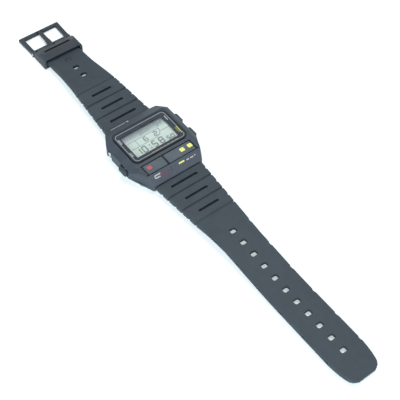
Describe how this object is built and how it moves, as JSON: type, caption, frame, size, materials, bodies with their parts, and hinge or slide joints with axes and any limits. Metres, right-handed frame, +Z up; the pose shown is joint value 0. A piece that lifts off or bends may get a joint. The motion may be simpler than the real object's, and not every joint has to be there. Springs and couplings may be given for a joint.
{
  "type": "digital wristwatch",
  "caption": "Digital wristwatch with a liquid crystal display, front keys, side buttons and an open resin strap with a hinged pin buckle.",
  "frame": {"origin": "middle of the flat outer face of the case back, which lies on the table", "axes": "+X to 3 o'clock, +Y to 12 o'clock and the buckle end of the strap, +Z up out of the display"},
  "size_m": [0.038, 0.2274, 0.01],
  "materials": {
    "case_resin": "fine-grained moulded resin",
    "strap_resin": "matt flexible resin",
    "crystal_acrylic": "clear acrylic window",
    "mask_ink": "printed mask behind the window",
    "lcd": "reflective liquid crystal cell",
    "reflector": "diffuse reflector foil",
    "elastomer": "layered conductive elastomer",
    "module_plastic": "moulded module parts",
    "circuit_board": "solder-masked glass fibre board",
    "epoxy": "potting over the chip",
    "steel": "brushed stainless steel",
    "brass": "spring brass",
    "ceramic": null,
    "seal_rubber": "nitrile seal",
    "lamp_glass": "grain-of-wheat lamp"
  },
  "bodies": {
    "case": {"case_body": "case_resin", "crystal": "crystal_acrylic", "dial_mask": "mask_ink", "lcd_glass": "lcd", "lcd_reflector": "reflector", "zebra_strips": "elastomer", "module_frame": "module_plastic", "circuit_board": "circuit_board", "chip_cap": "epoxy", "quartz_can": "steel", "lamp": "lamp_glass", "battery": "steel", "battery_clip": "steel", "spacer_frame": "module_plastic", "buzzer_disc": "brass", "buzzer_element": "ceramic", "buzzer_spring": "brass", "switch_contacts": "brass", "board_screws": "steel", "back_gasket": "seal_rubber", "case_back": "steel", "back_screws": "steel", "spring_bar_short": "steel", "spring_bar_long": "steel", "button_seals": "seal_rubber", "left_key_springs": "steel", "right_key_springs": "steel", "upper_right_spring": "steel", "lower_right_spring": "steel", "lower_left_spring": "steel", "adjust_spring": "steel"},
    "short_strap": {"strap_short": "strap_resin", "buckle_block": "case_resin", "buckle_pin": "steel"},
    "long_strap": {"strap_long": "strap_resin"},
    "buckle": {"buckle_frame": "case_resin"},
    "tongue": {"buckle_tongue": "case_resin"},
    "left_key": {"left_key": "case_resin", "left_key_clips": "steel"},
    "right_key": {"right_key": "case_resin", "right_key_clips": "steel"},
    "upper_right_button": {"upper_right_button": "case_resin", "upper_right_clip": "steel"},
    "lower_right_button": {"lower_right_button": "case_resin", "lower_right_clip": "steel"},
    "lower_left_button": {"lower_left_button": "case_resin", "lower_left_clip": "steel"},
    "adjust_button": {"adjust_button": "steel", "adjust_clip": "steel"}
  },
  "joints": [
    {"name": "short_strap_hinge", "type": "hinge", "parent": "case", "child": "short_strap", "pos_m": [0, 0.0162, 0.0033], "axis": [1, 0, 0], "range_deg": [-60, 4]},
    {"name": "long_strap_hinge", "type": "hinge", "parent": "case", "child": "long_strap", "pos_m": [0, -0.0162, 0.0033], "axis": [1, 0, 0], "range_deg": [-4, 60]},
    {"name": "buckle_hinge", "type": "hinge", "parent": "short_strap", "child": "buckle", "pos_m": [0, 0.0812, 0.0014], "axis": [1, 0, 0], "range_deg": [-60, 45]},
    {"name": "tongue_hinge", "type": "hinge", "parent": "buckle", "child": "tongue", "pos_m": [0, 0.0812, 0.0014], "axis": [1, 0, 0], "range_deg": [0, 45]},
    {"name": "upper_right_press", "type": "slide", "parent": "case", "child": "upper_right_button", "axis": [-1, 0, 0], "range_m": [0, 0.0007], "stiffness_N_per_m": 800, "springref_m": -0.0006, "deforming": ["upper_right_spring"]},
    {"name": "lower_right_press", "type": "slide", "parent": "case", "child": "lower_right_button", "axis": [-1, 0, 0], "range_m": [0, 0.0007], "stiffness_N_per_m": 800, "springref_m": -0.0006, "deforming": ["lower_right_spring"]},
    {"name": "lower_left_press", "type": "slide", "parent": "case", "child": "lower_left_button", "axis": [1, 0, 0], "range_m": [0, 0.0007], "stiffness_N_per_m": 800, "springref_m": -0.0006, "deforming": ["lower_left_spring"]},
    {"name": "adjust_press", "type": "slide", "parent": "case", "child": "adjust_button", "axis": [1, 0, 0], "range_m": [0, 0.0007], "stiffness_N_per_m": 800, "springref_m": -0.0006, "deforming": ["adjust_spring"]},
    {"name": "left_key_press", "type": "slide", "parent": "case", "child": "left_key", "axis": [0, 0, -1], "range_m": [0, 0.0006], "stiffness_N_per_m": 900, "springref_m": -0.0005, "deforming": ["left_key_springs"]},
    {"name": "right_key_press", "type": "slide", "parent": "case", "child": "right_key", "axis": [0, 0, -1], "range_m": [0, 0.0006], "stiffness_N_per_m": 900, "springref_m": -0.0005, "deforming": ["right_key_springs"]}
  ]
}
